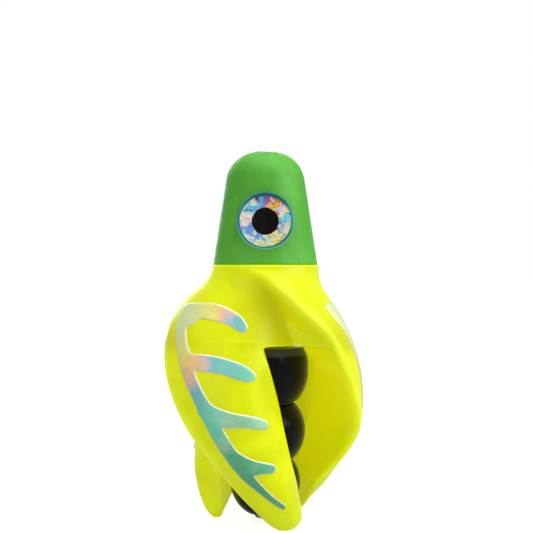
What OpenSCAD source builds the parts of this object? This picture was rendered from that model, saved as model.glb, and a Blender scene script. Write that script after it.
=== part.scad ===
// Winged spinner: a rotor with a bird-like head and three swept wings, which turns on a tube
// through its middle, over three graduated beads. Millimetres, +Z up. The origin is where the
// spin axis meets the plane that the three wing tips stand on. Angles go round the axis from
// the front (-Y) towards the right (+X).

/* [Overall] */
// Height from the wing tips to the top of the nose collar
total_h = 70; // [66:0.5:74]
// Height of the head, from its joint with the wings to the top of the nose collar
head_h = 21.6; // [21.2:0.1:22]
// Height of the hub that the wings spread from, from its flat underside to that joint
hub_h = 14.9; // [14.6:0.1:15.2]

/* [Head] */
// Radius of the head where it meets the wings
head_r = 9.95; // [9.6:0.05:10.1]
// Radius of the rounding round the crown
crown_round = 6.1; // [5.8:0.1:6.4]
// Radius of the flat middle of the crown
crown_flat_r = 1.45; // [1.2:0.05:1.7]
// Radius of the air chamber inside the head
chamber_r = 5.5; // [5:0.1:5.8]
// Depth of the air chamber's roof below the top of the nose collar
roof_h = 8; // [7:0.5:9]
// Radius of the spigot that the head is glued on
spigot_r = 8; // [7.6:0.1:8.2]
// Height of that spigot above the joint
spigot_h = 2.5; // [2.2:0.1:2.6]

/* [Eyes] */
// Radius of an eye disc, a 10 mm stick-on eye
eye_r = 5; // [4.8:0.05:5.1]
// Height of the middle of the eyes above the joint
eye_rise = 8.1; // [7.9:0.1:8.6]
// Depth of the eye pockets below the head's surface
eye_pocket = 1.75; // [1.7:0.05:1.9]
// Thickness of an eye disc
eye_t = 0.3; // [0.2:0.05:0.4]
// Height of the clear dome on an eye disc
dome_h = 1.1; // [0.8:0.1:1.3]
// Upward tilt of the eyes
eye_tilt = 4; // [3:0.5:6]
// Gap round an eye disc in its pocket
eye_gap = 0.1; // [0.05:0.05:0.2]

/* [Wings] */
// Number of wings round the axis
wing_count = 3; // [3:1:3]
// Largest radius of the wings
wing_r = 19.7; // [19.2:0.1:20.4]
// Radius of the cavity round the beads, at the hub
cavity_top_r = 9.1; // [9:0.05:9.2]
// Radius of the cavity round the beads, at the wing tips
cavity_tip_r = 8.1; // [8:0.05:8.2]
// Thickness of a wing along its leading edge
lead_t = 1.3; // [1.1:0.1:1.5]
// How full the inner face of a wing is; less is more hollow
inner_bow = 0.85; // [0.7:0.01:1]

/* [Foil stripes] */
// Thickness of a foil stripe
foil_t = 0.2; // [0.15:0.05:0.25]
// Gap that the glue fills under a foil stripe
foil_gap = 0.03; // [0.02:0.01:0.05]

/* [Spindle] */
// Outer radius of the spindle tube
tube_r = 1.2; // [1.15:0.05:1.25]
// Radius of the line bore through the spindle tube
line_bore_r = 0.75; // [0.6:0.05:0.8]
// Running clearance on the radius of each bore on the tube
run_gap = 0.05; // [0.03:0.01:0.08]
// End gap between pieces that turn against each other
end_gap = 0.12; // [0.1:0.01:0.15]
// Thickness of a thrust washer
washer_t = 0.4; // [0.3:0.05:0.4]

/* [Bushes and ends] */
// Outer radius of the bush in the nose
nose_bush_r = 2.6; // [2.4:0.1:2.8]
// Outer radius of the bush in the hub
hub_bush_r = 3; // [2.8:0.1:3.2]
// Radius of the flange on the hub bush
flange_r = 4.6; // [4.4:0.1:4.8]
// Thickness of that flange
flange_t = 0.8; // [0.6:0.1:1]
// Height of the collar pressed on the tube at the nose
collar_h = 0.6; // [0.5:0.05:0.65]
// Radius of that collar
collar_r = 2.4; // [2.2:0.1:2.5]
// Radius of the ferrule crimped on the tube at the tail
ferrule_r = 2; // [1.9:0.05:2.1]
// Height of the underside of that ferrule
ferrule_z = 0.3; // [0.2:0.05:0.4]
// Length of that ferrule
ferrule_h = 2; // [1.8:0.05:2.1]

/* [Beads] */
// Largest radius of the upper bead
bead1_r = 8.2; // [8:0.05:8.3]
// Largest radius of the middle bead
bead2_r = 7.65; // [7.5:0.05:7.8]
// Largest radius of the lower bead
bead3_r = 6.7; // [6.6:0.05:6.8]
// Height of the straight belt round the upper bead
bead1_belt = 1.4; // [1:0.1:1.8]
// Height of the bottom face of the lower bead
row_z = 1.1; // [1:0.05:1.2]
// Where the upper and middle beads meet, as a share of the row of beads
meet12 = 0.668; // [0.66:0.001:0.675]
// Where the middle and lower beads meet, as a share of the row
meet23 = 0.328; // [0.32:0.001:0.335]
// Where the upper bead is widest, as a share of the row
bead1_mid = 0.869; // [0.86:0.001:0.875]
// Where the lower bead is widest, as a share of the row
bead3_mid = 0.186; // [0.18:0.001:0.19]

/* [Hidden] */
$fn = 96;

green = "#3f9f3f";
chartreuse = "#dcee12";
foil_teal = "#7fd0c8";
black = "#101012";
steel = "#c8cacc";
acetal = "#f2f2ee";
clear = "#e8f4ff";

// Stations up a wing, from its tip to the neck. Every curve of the wing is smooth between them.
// They are drawn for wings as high and wide as their last height and largest radius say.
wing_z = [0, 0.5, 1.5, 3, 6, 9, 13, 18, 24, 29, 33.5, 37, 40, 43, 45.5, 47.5, 48.4];
// Where the leading edge stands round the axis
lead_a = [17, 12, 4, -6.5, -26, -32, -37, -46, -60, -70, -78, -87, -95, -105, -120, -135, -140];
// Radius of the leading edge
lead_r = [9.7, 9.6, 9.5, 9.4, 9.8, 12.4, 15.8, 18.4, 19.4, 19.7, 19.3, 18.5, 16.9, 14.6, 11.8, 10.3, 10.2];
// Where the trailing edge stands round the axis, up to the hub
trail_a = [29, 36, 41, 40.5, 35.5, 31, 25, 18, 10, 4, -2, -2, -2, -2, -2, -2, -2];
// Where the outer skin starts, at the trailing edge on a wing and in the valley on the hub
start_a = [29, 36, 41, 40.5, 35.5, 31, 25, 19, 13, 16, 40, 27, 13, 4, -8, -25, -35];
// Radius of the outer skin there
start_r = [9.8, 9.8, 10, 10.3, 10.7, 11.1, 11.1, 11.1, 11, 10.4, 9.5, 9.5, 9.6, 9.8, 10.1, 10.2, 10.2];
// Fullness of the outer skin, a third of the way on
full1_r = [
    10.2, 11, 12.3, 13.6, 16.2, 17.4, 17.6, 17.6, 17.6, 16, 9.2, 9.5, 10.2, 10.2, 10.3, 10.2, 10.2
];
// Fullness of the outer skin, two thirds of the way on
full2_r = [
    10.2, 10.9, 11.6, 12.7, 13.9, 15, 16.7, 17.8, 18.2, 18.3, 18, 17.8, 16.3, 14.2, 11.7, 10.3, 10.2
];
// How far round from the leading edge the inner face of a wing reaches the cavity
inner_a = [4, 6, 10, 16, 30, 38, 42, 40, 34, 26, 8, 8, 8, 8, 8, 8, 8];
// How much fuller the inner face gets towards the hub, where it runs on from the valley
inner_full = [1, 1, 1, 1, 1, 1, 1, 1, 1, 1.25, 4, 4, 4, 4, 4, 4, 4];
// How much further round the cavity side of a trailing edge stands than its outer side
slant_a = [0, 1, 2, 4, 6, 6, 6, 6, 5, 2, 0, 0, 0, 0, 0, 0, 0];

// How far cutters run past what they cut
over = 1;

// Heights from the top down
joint_z = total_h - head_h;
hub_z = joint_z - hub_h;
eye_z = joint_z + eye_rise;
chamber_top_z = total_h - roof_h;
wing_rise = joint_z / wing_z[len(wing_z) - 1];
wing_wide = wing_r / max(lead_r);

// The flange of the hub bush is flush with the hub's underside, with a washer between it and the beads
flange_z = hub_z;
hub_washer_z = flange_z - end_gap - washer_t;
hub_washer_r = flange_r - 0.4;

// The row of beads
row_top_z = hub_washer_z - end_gap;
row_h = row_top_z - row_z;
meet12_z = row_z + meet12 * row_h;
meet23_z = row_z + meet23 * row_h;
bead1_z = row_z + bead1_mid * row_h;
bead2_z = (meet12_z + meet23_z) / 2;
bead3_z = row_z + bead3_mid * row_h;

// The nose washer and the nose bush sit below the nose collar
nose_washer_z = total_h - collar_h - end_gap - washer_t;
nose_bush_top_z = nose_washer_z - end_gap;
nose_bush_h = nose_bush_top_z - chamber_top_z;
nose_mouth_r = nose_bush_r + 0.3;
tube_bore_r = tube_r + run_gap;
ferrule_hide_r = ferrule_r + 0.2;
ferrule_hide_h = ferrule_z + ferrule_h + end_gap - row_z;

// An eye's dome is a slice of a ball
dome_rim_r = eye_r - 0.1;
dome_ball_r = (dome_rim_r * dome_rim_r + dome_h * dome_h) / (2 * dome_h);

// The side of the head is a cone that runs smoothly into the rounding of the crown
collar_proud = 0.1;
crown_z = total_h - collar_proud - crown_round;
crown_dx = head_r - crown_flat_r;
crown_dz = crown_z - joint_z;
crown_reach = sqrt(crown_dx * crown_dx + crown_dz * crown_dz);
lean = atan2(crown_dz, -crown_dx) - asin(crown_round / crown_reach) - 90;
side_top = [crown_flat_r + crown_round * cos(lean), crown_z + crown_round * sin(lean)];

// Heights of the loft's layers, closer together towards the wing tips
tip_h = 4.6;
tip_steps = 6;
tip_ease = 1.7;
tip_layers = [for (k = [0:tip_steps]) tip_h * pow(k / tip_steps, tip_ease)];
wing_steps = 15;
wing_layers = concat(tip_layers, [for (k = [1:wing_steps]) tip_h + k * (hub_z - tip_h) / wing_steps]);
hub_steps = 10;
hub_layers = [for (k = [0:hub_steps]) hub_z + k * hub_h / hub_steps];

// The inner side of a wing curves out to this radius over this height at the tip
tip_inner_r = 9.1;
tip_round_h = 1.5;
// Near the tip the leading edge and the wall behind it thin to these shares of what is there
wall_share = 0.7;
edge_share = 0.8;
least_wall_a = 2;
skin_steps = 11;
nose_steps = 4;
inner_steps = 7;
arc_steps = 3;
valley_steps = 6;
gap_steps = 4;

// Slope of a curve at one of its stations
function slope_at(xs, ys, i) =
    let (a = max(i - 1, 0), b = min(i + 1, len(xs) - 1)) (ys[b] - ys[a]) / (xs[b] - xs[a]);

// The last station at or below x
function station(xs, x) = max([for (i = [0:len(xs) - 2]) if (x >= xs[i] || i == 0) i]);

// Value at x of the smooth curve through the stations
function along(xs, ys, x) =
    let (i = station(xs, x), w = xs[i + 1] - xs[i], t = (x - xs[i]) / w)
    let (m0 = slope_at(xs, ys, i) * w, m1 = slope_at(xs, ys, i + 1) * w)
    (2 * t * t * t - 3 * t * t + 1) * ys[i] + (t * t * t - 2 * t * t + t) * m0
    + (3 * t * t - 2 * t * t * t) * ys[i + 1] + (t * t * t - t * t) * m1;

// Value at height z of one of the wing's curves, an angle or a radius
function wing_at(ys, z) = along(wing_z, ys, z / wing_rise);
function wing_r_at(ys, z) = wing_wide * wing_at(ys, z);

function cavity_r(z) = cavity_tip_r + (cavity_top_r - cavity_tip_r) * z / hub_z;
function bezier(a, b, c, d, t) =
    let (s = 1 - t) s * s * s * a + 3 * s * s * t * b + 3 * s * t * t * c + t * t * t * d;

// Radius of the cone side of the head at a height
function head_r_at(z) = head_r + (side_top[0] - head_r) * (z - joint_z) / (side_top[1] - joint_z);

// A point at radius r and angle a from the front
function at(r, a, z) = [r * sin(a), -r * cos(a), z];

// Radius of the outer skin of the first wing at an angle and a height
function skin_r(a, z) =
    let (from = wing_at(start_a, z), to = wing_at(lead_a, z), t = min(1, max(0, (from - a) / (from - to))))
    bezier(wing_r_at(start_r, z), wing_r_at(full1_r, z), wing_r_at(full2_r, z), wing_r_at(lead_r, z), t);

// Radius of the inner side of a wing, which curves out to meet the skin at the tip
function inside_r(z) =
    let (u = max(0, 1 - z / tip_round_h)) cavity_r(z) + (tip_inner_r - cavity_r(z)) * u * u;

// One horizontal section of a wing: outer skin, rounded leading edge, inner face, cavity wall
function wing_section(z) =
    let (a0 = wing_at(trail_a, z), a1 = wing_at(lead_a, z))
    let (r1 = wing_r_at(lead_r, z), ri = min(inside_r(z), r1 - lead_t * wall_share))
    let (edge = min(lead_t, (r1 - ri) * edge_share), rj = r1 - edge)
    let (ai = min(a1 + wing_at(inner_a, z), a0 - least_wall_a), bow = inner_bow * wing_at(inner_full, z))
    concat(
        [for (i = [0:skin_steps]) let (a = a0 + (a1 - a0) * i / skin_steps) at(skin_r(a, z), a, z)],
        [for (k = [1:nose_steps - 1]) let (w = 180 * k / nose_steps)
            at(r1 - edge / 2 + edge / 2 * cos(w), a1 - edge / 2 * sin(w) / r1 * 180 / PI, z)],
        [for (j = [0:inner_steps]) let (u = j / inner_steps)
            at(ri + (rj - ri) * pow(1 - u, bow), a1 + (ai - a1) * u, z)],
        [for (k = [1:arc_steps]) at(ri, ai + (a0 + wing_at(slant_a, z) - ai) * k / arc_steps, z)]
    );

// How far along the hub's skin its points lie: those past the trailing edge meet the wing's own
hub_start_a = wing_at(start_a, hub_z);
trail_t = (hub_start_a - wing_at(trail_a, hub_z)) / (hub_start_a - wing_at(lead_a, hub_z));
hub_skin_t = concat(
    [for (i = [0:gap_steps - 1]) trail_t * i / gap_steps],
    [for (i = [0:skin_steps]) trail_t + (1 - trail_t) * i / skin_steps]
);

// One horizontal section of the hub: for each wing, its skin and the valley wall behind its edge
function hub_section(z) = [
    for (w = [0:wing_count - 1])
        let (turn = -w * 360 / wing_count, a0 = wing_at(start_a, z), a1 = wing_at(lead_a, z))
        let (r0 = wing_r_at(start_r, z), r1 = wing_r_at(lead_r, z), a2 = a0 - 360 / wing_count)
        each concat(
            [for (t = hub_skin_t) let (a = a0 + (a1 - a0) * t) at(skin_r(a, z), a + turn, z)],
            [for (k = [1:valley_steps - 1]) let (u = k / valley_steps)
                at(r0 + (r1 - r0) * (1 + cos(180 * u)) / 2, a1 + (a2 - a1) * u + turn, z)]
        )
];

// The caps of a loft's ends, as faces between the points of a section. A long thin section is closed
// by a strip of triangles across it, from its first points to its last.
function strip_cap(n) = [
    for (k = [0:n - 3])
        let (i = floor(k / 2)) k % 2 == 0 ? [i, i + 1, n - 1 - i] : [i + 1, n - 2 - i, n - 1 - i]
];
function plain_cap(n) = [[for (i = [0:n - 1]) i]];

// A solid through closed sections that all have the same number of points
module loft(sections, cap) {
    n = len(sections[0]);
    last = len(sections) - 1;
    sides = [
        for (k = [0:last - 1], i = [0:n - 1]) let (j = (i + 1) % n)
            each [[k * n + i, k * n + j, (k + 1) * n + j], [k * n + i, (k + 1) * n + j, (k + 1) * n + i]]
    ];
    bottom = [for (face = cap) [for (k = [len(face) - 1:-1:0]) face[k]]];
    top = [for (face = cap) [for (i = face) last * n + i]];
    polyhedron(points = [for (s = sections) each s], faces = concat(bottom, sides, top), convexity = 8);
}

// The wings and the hub are one moulding. Each wing runs from its tip to the hub's underside.
module wing(w) {
    sections = [for (z = wing_layers) wing_section(z)];
    color(chartreuse) rotate(w * 360 / wing_count) loft(sections, strip_cap(len(sections[0])));
}

module wing_1() wing(0);
module wing_2() wing(1);
module wing_3() wing(2);

// The hub has a spigot for the head and a seat for the hub bush
module wing_hub() {
    sections = [for (z = hub_layers) hub_section(z)];
    color(chartreuse) difference() {
        union() {
            loft(sections, plain_cap(len(sections[0])));
            translate([0, 0, joint_z - over]) cylinder(r = spigot_r, h = spigot_h + over);
        }
        translate([0, 0, flange_z - over]) cylinder(r = flange_r, h = flange_t + over);
        translate([0, 0, flange_z - over]) cylinder(r = hub_bush_r, h = total_h);
    }
}

// Half of the head's outline, from the axis out
module head_outline() {
    polygon([[0, joint_z], [head_r, joint_z], side_top, [crown_flat_r, crown_z], [0, crown_z]]);
    intersection() {
        translate([crown_flat_r, crown_z]) circle(r = crown_round);
        translate([0, joint_z]) square([head_r, total_h]);
    }
    translate([0, joint_z]) square([crown_flat_r, crown_z + crown_round - joint_z]);
}

// Places its children on the side of the head, looking outwards along +Z from the eye's middle
module on_eye_face(turn) {
    rotate([0, 0, turn]) translate([0, -head_r_at(eye_z), eye_z]) rotate([90 - eye_tilt, 0, 0]) children();
}

module head_shell() {
    color(green) difference() {
        rotate_extrude() head_outline();
        translate([0, 0, joint_z - over]) cylinder(r = spigot_r, h = spigot_h + over);
        translate([0, 0, joint_z]) cylinder(r = chamber_r, h = chamber_top_z - joint_z);
        translate([0, 0, joint_z]) cylinder(r = nose_bush_r, h = total_h);
        translate([0, 0, nose_bush_top_z]) cylinder(r = nose_mouth_r, h = total_h);
        for (turn = [0, 180]) on_eye_face(turn) translate([0, 0, -eye_pocket])
            cylinder(r = eye_r + eye_gap, h = head_r);
    }
}

// A round foil disc, glued to the floor of its pocket
module eye_disc(turn) {
    color(clear) on_eye_face(turn) translate([0, 0, -eye_pocket]) cylinder(r = eye_r, h = eye_t);
}

// The clear dome cast on an eye disc
module eye_dome(turn) {
    color(clear) on_eye_face(turn) translate([0, 0, eye_t - eye_pocket]) intersection() {
        translate([0, 0, dome_h - dome_ball_r]) sphere(r = dome_ball_r);
        cylinder(r = dome_rim_r, h = dome_h + over);
    }
}

module eye_disc_front() eye_disc(0);
module eye_disc_back() eye_disc(180);
module eye_dome_front() eye_dome(0);
module eye_dome_back() eye_dome(180);

// The stripe printed as foil on a wing, drawn from the front: [x, z, half width] along each stroke.
// It is drawn to the same height and width as the stations.
stripe_spine = [
    [-13.9, 39.2, 1.75], [-15.2, 37.6, 1.25], [-15.4, 35.8, 1.1], [-15, 33.5, 1.2], [-14.3, 31, 1.35],
    [-13.3, 28.1, 1.25], [-12, 25.5, 1.25], [-10.2, 22.4, 1.35], [-8.4, 18.9, 1.35], [-6.1, 15.3, 1.35],
    [-3.3, 11.4, 1.15], [-1.1, 9.1, 0.85], [1, 7.1, 0.7], [3.1, 5.4, 0.6]
];
stripe_fingers = [
    [
        [-13.8, 39.7, 1.6], [-11.7, 40, 1.45], [-9, 39.8, 1.55], [-6.8, 39.1, 1.4],
        [-5.2, 38.2, 1.3], [-4.1, 37.2, 1]
    ],
    [
        [-13.4, 31, 1.4], [-10.6, 30.9, 1.5], [-7.7, 30.5, 1.45], [-5, 29.7, 1.45],
        [-3.4, 29, 1.3], [-2.5, 28.7, 0.95]
    ],
    [
        [-10.6, 22.8, 1.4], [-8.4, 21.7, 1.6], [-6.1, 21.2, 1.4], [-3.6, 21, 1.15],
        [-1.5, 20.6, 1.05], [-0.3, 20.2, 0.85]
    ],
    [[-4.9, 14.2, 1.4], [-2.7, 13, 1.5], [-0.6, 12.8, 1.15], [1, 12.6, 0.9]]
];
// The layer that the stripe is cut from: its drawn heights, and where it ends on the skin
layer_span = [4, 42];
layer_end_a = 24;
layer_margin_a = 1;
layer_steps_a = 22;
layer_steps_z = 24;
stroke_sides = 16;

// A stroke of changing width through its points
module stroke(points) {
    for (i = [0:len(points) - 2]) hull() {
        translate([points[i][0], points[i][1]]) circle(r = points[i][2], $fn = stroke_sides);
        translate([points[i + 1][0], points[i + 1][1]]) circle(r = points[i + 1][2], $fn = stroke_sides);
    }
}

module stripe_outline() {
    stroke(stripe_spine);
    for (finger = stripe_fingers) stroke(finger);
}

// A thin layer that lies on the outer skin of the first wing
module skin_layer() {
    span = layer_span[1] - layer_span[0];
    heights = [for (k = [0:layer_steps_z]) wing_rise * (layer_span[0] + span * k / layer_steps_z)];
    sections = [
        for (z = heights)
            let (a0 = wing_at(lead_a, z) + layer_margin_a)
            let (a1 = min(wing_at(start_a, z), layer_end_a) - layer_margin_a)
            concat(
                [for (i = [0:layer_steps_a]) let (a = a1 + (a0 - a1) * i / layer_steps_a)
                    at(skin_r(a, z) + foil_gap + foil_t, a, z)],
                [for (i = [0:layer_steps_a]) let (a = a0 + (a1 - a0) * i / layer_steps_a)
                    at(skin_r(a, z) + foil_gap, a, z)]
            )
    ];
    loft(sections, strip_cap(len(sections[0])));
}

module foil_stripe(w) {
    color(foil_teal) rotate(w * 360 / wing_count) intersection() {
        skin_layer();
        rotate([90, 0, 0]) linear_extrude(height = 2 * wing_r) scale([wing_wide, wing_rise]) stripe_outline();
    }
}

module foil_stripe_1() foil_stripe(0);
module foil_stripe_2() foil_stripe(1);
module foil_stripe_3() foil_stripe(2);

// A plain tube or washer round the axis
module ring(outer, inner, z, h) {
    difference() {
        translate([0, 0, z]) cylinder(r = outer, h = h);
        translate([0, 0, z - over]) cylinder(r = inner, h = h + 2 * over);
    }
}

module spindle_tube() color(steel) ring(tube_r, line_bore_r, ferrule_z, total_h - ferrule_z);
module nose_collar() color(steel) ring(collar_r, tube_r, total_h - collar_h, collar_h);
module tail_ferrule() color(steel) ring(ferrule_r, tube_r, ferrule_z, ferrule_h);
module nose_washer() color(steel) ring(nose_bush_r, tube_bore_r, nose_washer_z, washer_t);
module hub_washer() color(steel) ring(hub_washer_r, tube_bore_r, hub_washer_z, washer_t);
module nose_bush() color(acetal) ring(nose_bush_r, tube_bore_r, chamber_top_z, nose_bush_h);

module hub_bush() {
    color(acetal) difference() {
        union() {
            translate([0, 0, flange_z]) cylinder(r = flange_r, h = flange_t);
            translate([0, 0, flange_z]) cylinder(r = hub_bush_r, h = joint_z - flange_z);
        }
        translate([0, 0, flange_z - over]) cylinder(r = tube_bore_r, h = total_h);
    }
}

// Half of a bead's outline: a round side, with a straight belt round a bead that has one
module bead_outline(r, mid_z, belt) {
    if (belt > 0) {
        for (side = [-1, 1]) translate([0, mid_z + side * belt / 2]) circle(r = r);
        translate([0, mid_z - belt / 2]) square([r, belt]);
    } else {
        translate([0, mid_z]) circle(r = r);
    }
}

// A bead, with flat ends and a bore
module bead(r, mid_z, z0, z1, belt = 0) {
    color(black) difference() {
        rotate_extrude() intersection() {
            bead_outline(r, mid_z, belt);
            translate([0, z0]) square([r, z1 - z0]);
        }
        translate([0, 0, z0 - over]) cylinder(r = tube_bore_r, h = z1 - z0 + 2 * over);
    }
}

module bead_upper() bead(bead1_r, bead1_z, meet12_z + end_gap / 2, row_top_z, bead1_belt);
module bead_middle() bead(bead2_r, bead2_z, meet23_z + end_gap / 2, meet12_z - end_gap / 2);

// The lower bead also hides the ferrule in a counterbore
module bead_lower() {
    difference() {
        bead(bead3_r, bead3_z, row_z, meet23_z - end_gap / 2);
        translate([0, 0, row_z - over]) cylinder(r = ferrule_hide_r, h = ferrule_hide_h + over);
    }
}

head_shell();
wing_hub();
wing_1();
wing_2();
wing_3();
foil_stripe_1();
foil_stripe_2();
foil_stripe_3();
eye_disc_front();
eye_dome_front();
eye_disc_back();
eye_dome_back();
nose_bush();
hub_bush();
spindle_tube();
nose_collar();
nose_washer();
hub_washer();
bead_upper();
bead_middle();
bead_lower();
tail_ferrule();
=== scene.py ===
"""Looks of the winged spinner: its smooth mouldings, foil prints, eyes and beads, the light and the camera.

Shapes are worked out in millimetres and scaled to metres when a piece is finished. Angles go round
the axis from the front (-Y) towards the right (+X), as in the part's own frame.
"""
import math

import bpy
import numpy as np
from mathutils import Matrix, Vector


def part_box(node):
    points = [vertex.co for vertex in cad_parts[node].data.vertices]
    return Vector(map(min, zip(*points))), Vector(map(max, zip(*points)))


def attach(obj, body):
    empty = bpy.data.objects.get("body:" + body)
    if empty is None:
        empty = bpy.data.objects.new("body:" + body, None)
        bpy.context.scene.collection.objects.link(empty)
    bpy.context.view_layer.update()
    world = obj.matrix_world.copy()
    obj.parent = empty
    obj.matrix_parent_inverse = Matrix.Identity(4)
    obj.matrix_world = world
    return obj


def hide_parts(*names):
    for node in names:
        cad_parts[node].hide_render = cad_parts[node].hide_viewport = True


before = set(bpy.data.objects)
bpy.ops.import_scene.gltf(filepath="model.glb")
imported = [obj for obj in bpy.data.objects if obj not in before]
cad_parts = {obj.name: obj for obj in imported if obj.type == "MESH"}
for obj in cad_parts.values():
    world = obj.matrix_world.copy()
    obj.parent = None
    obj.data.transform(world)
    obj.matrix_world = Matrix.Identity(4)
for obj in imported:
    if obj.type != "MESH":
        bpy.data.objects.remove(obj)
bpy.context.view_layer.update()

MM = 0.001
WING_COUNT = 3


def low(node):
    """A node's lowest corner in millimetres."""
    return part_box(node)[0] / MM


def high(node):
    """A node's highest corner in millimetres."""
    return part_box(node)[1] / MM


# ---------------------------------------------------------------- camera

CAMERA_DISTANCE = 181.9
CAMERA_HEIGHT = 48.07
FOCAL_IN_PIXELS = 950
IMAGE_PIXELS = 533
AXIS_LEFT_OF_CENTRE = 1.2
SENSOR = 36


def make_camera():
    data = bpy.data.cameras.new("camera")
    data.sensor_width = SENSOR
    data.lens = SENSOR * FOCAL_IN_PIXELS / IMAGE_PIXELS
    data.shift_x = AXIS_LEFT_OF_CENTRE / IMAGE_PIXELS
    data.clip_start = 0.01
    data.clip_end = 20
    camera = bpy.data.objects.new("camera", data)
    camera.location = (0, -CAMERA_DISTANCE * MM, CAMERA_HEIGHT * MM)
    camera.rotation_euler = (math.pi / 2, 0, 0)
    bpy.context.scene.collection.objects.link(camera)
    bpy.context.scene.camera = camera


make_camera()

# ---------------------------------------------------------------- mesh helpers


def mesh_object(name, points, faces):
    mesh = bpy.data.meshes.new(name)
    mesh.from_pydata(np.asarray(points).tolist(), [], [list(map(int, f)) for f in faces])
    mesh.validate()
    piece = bpy.data.objects.new(name, mesh)
    bpy.context.scene.collection.objects.link(piece)
    return piece


def at(radius, angle, z):
    """Points at a radius and an angle in degrees from the front."""
    turn = np.radians(angle)
    return np.stack(np.broadcast_arrays(radius * np.sin(turn), -radius * np.cos(turn), z), axis=-1)


def around_axis(points):
    """Each point's radius, and its angle in degrees from the front."""
    x, y, _ = points.T
    return np.hypot(x, y), np.degrees(np.arctan2(x, -y))


def turned(points, angle):
    """Points turned round the axis, in degrees."""
    c, s = math.cos(math.radians(angle)), math.sin(math.radians(angle))
    return points @ np.array([[c, s, 0], [-s, c, 0], [0, 0, 1]])


def smooth_curve(t, first, last, leaving, arriving):
    """A smooth curve's value at share t of its way, from the values and the slopes at its two ends."""
    return ((2 * t**3 - 3 * t**2 + 1) * first + (t**3 - 2 * t**2 + t) * leaving
            + (3 * t**2 - 2 * t**3) * last + (t**3 - t**2) * arriving)


def loft(sections):
    """Points and faces of a solid through closed sections, an array of (layers, points, 3)."""
    layers, count, _ = sections.shape
    faces = []
    for k in range(layers - 1):
        lower, upper = k * count, (k + 1) * count
        for i in range(count):
            j = (i + 1) % count
            faces.append((lower + i, lower + j, upper + j, upper + i))
    faces.append(range(count - 1, -1, -1))
    faces.append(range((layers - 1) * count, layers * count))
    return sections.reshape(-1, 3), faces


def cylinder(radius, bottom, top, steps):
    """Points and faces of an upright cylinder."""
    round_a = np.linspace(0, 360, steps, endpoint=False)
    return loft(np.stack([at(radius, round_a, z) for z in (bottom, top)]))


def revolve(outline, steps=160):
    """Points and faces of a ring whose closed outline is a list of (radius, height)."""
    rings = [at(r, np.arange(steps) * 360 / steps, z) for r, z in outline]
    faces = []
    for k in range(len(outline)):
        lower, upper = k * steps, (k + 1) % len(outline) * steps
        for i in range(steps):
            j = (i + 1) % steps
            faces.append((lower + i, lower + j, upper + j, upper + i))
    return np.concatenate(rings), faces


def rounded(outline, radius, steps=4):
    """The closed outline with each corner cut back by radius and turned into a small curve."""
    corners = np.array(outline, float)
    made = []
    for before, corner, after in zip(np.roll(corners, 1, 0), corners, np.roll(corners, -1, 0)):
        ends = []
        for other in (before, after):
            reach = np.linalg.norm(other - corner)
            ends.append(corner + (other - corner) * min(radius, reach * 0.45) / reach)
        for t in np.linspace(0, 1, steps + 1):
            made.append((1 - t) ** 2 * ends[0] + 2 * t * (1 - t) * corner + t * t * ends[1])
    return made


def applied(piece):
    """Puts a piece's modifiers into its mesh."""
    bpy.context.view_layer.update()
    graph = bpy.context.evaluated_depsgraph_get()
    mesh = bpy.data.meshes.new_from_object(piece.evaluated_get(graph))
    piece.modifiers.clear()
    piece.data = mesh


def softened(piece, weights, rounds):
    """Smooths a piece where its points have weight, from 0 to 1 in steps of a tenth."""
    group = piece.vertex_groups.new(name="soft")
    levels = 10
    for level in range(1, levels + 1):
        chosen = np.nonzero(np.round(weights * levels) == level)[0]
        group.add(chosen.tolist(), level / levels, "REPLACE")
    smooth = piece.modifiers.new("soften", "SMOOTH")
    smooth.factor = 0.5
    smooth.iterations = rounds
    smooth.vertex_group = group.name
    applied(piece)
    piece.vertex_groups.clear()


def remeshed(piece, voxel, smoothing):
    """Joins overlapping solids into one even skin with soft edges."""
    remesh = piece.modifiers.new("remesh", "REMESH")
    remesh.mode = "VOXEL"
    remesh.voxel_size = voxel
    smooth = piece.modifiers.new("smooth", "SMOOTH")
    smooth.factor = 0.5
    smooth.iterations = smoothing
    applied(piece)


def cut(piece, cutter):
    """Takes the cutter's solid away from the piece."""
    boolean = piece.modifiers.new("cut", "BOOLEAN")
    boolean.operation = "DIFFERENCE"
    boolean.solver = "MANIFOLD"
    boolean.object = cutter
    applied(piece)
    bpy.data.objects.remove(cutter)


def coordinates(mesh):
    points = np.zeros(len(mesh.vertices) * 3, np.float32)
    mesh.vertices.foreach_get("co", points)
    return points.reshape(-1, 3).astype(float)


def add_value(mesh, name, values):
    """A number for each point, which the materials read by name."""
    layer = mesh.attributes.new(name, "FLOAT", "POINT")
    layer.data.foreach_set("value", np.asarray(values, np.float32))


def finished(piece, body, material, replaces):
    """Scales a piece to metres, shades it smooth and hands it to the frame."""
    piece.data.transform(Matrix.Scale(MM, 4))
    piece.data.materials.clear()
    piece.data.materials.append(material)
    piece.data.shade_smooth()
    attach(piece, body)
    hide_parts(*replaces)


# ---------------------------------------------------------------- material helpers


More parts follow.
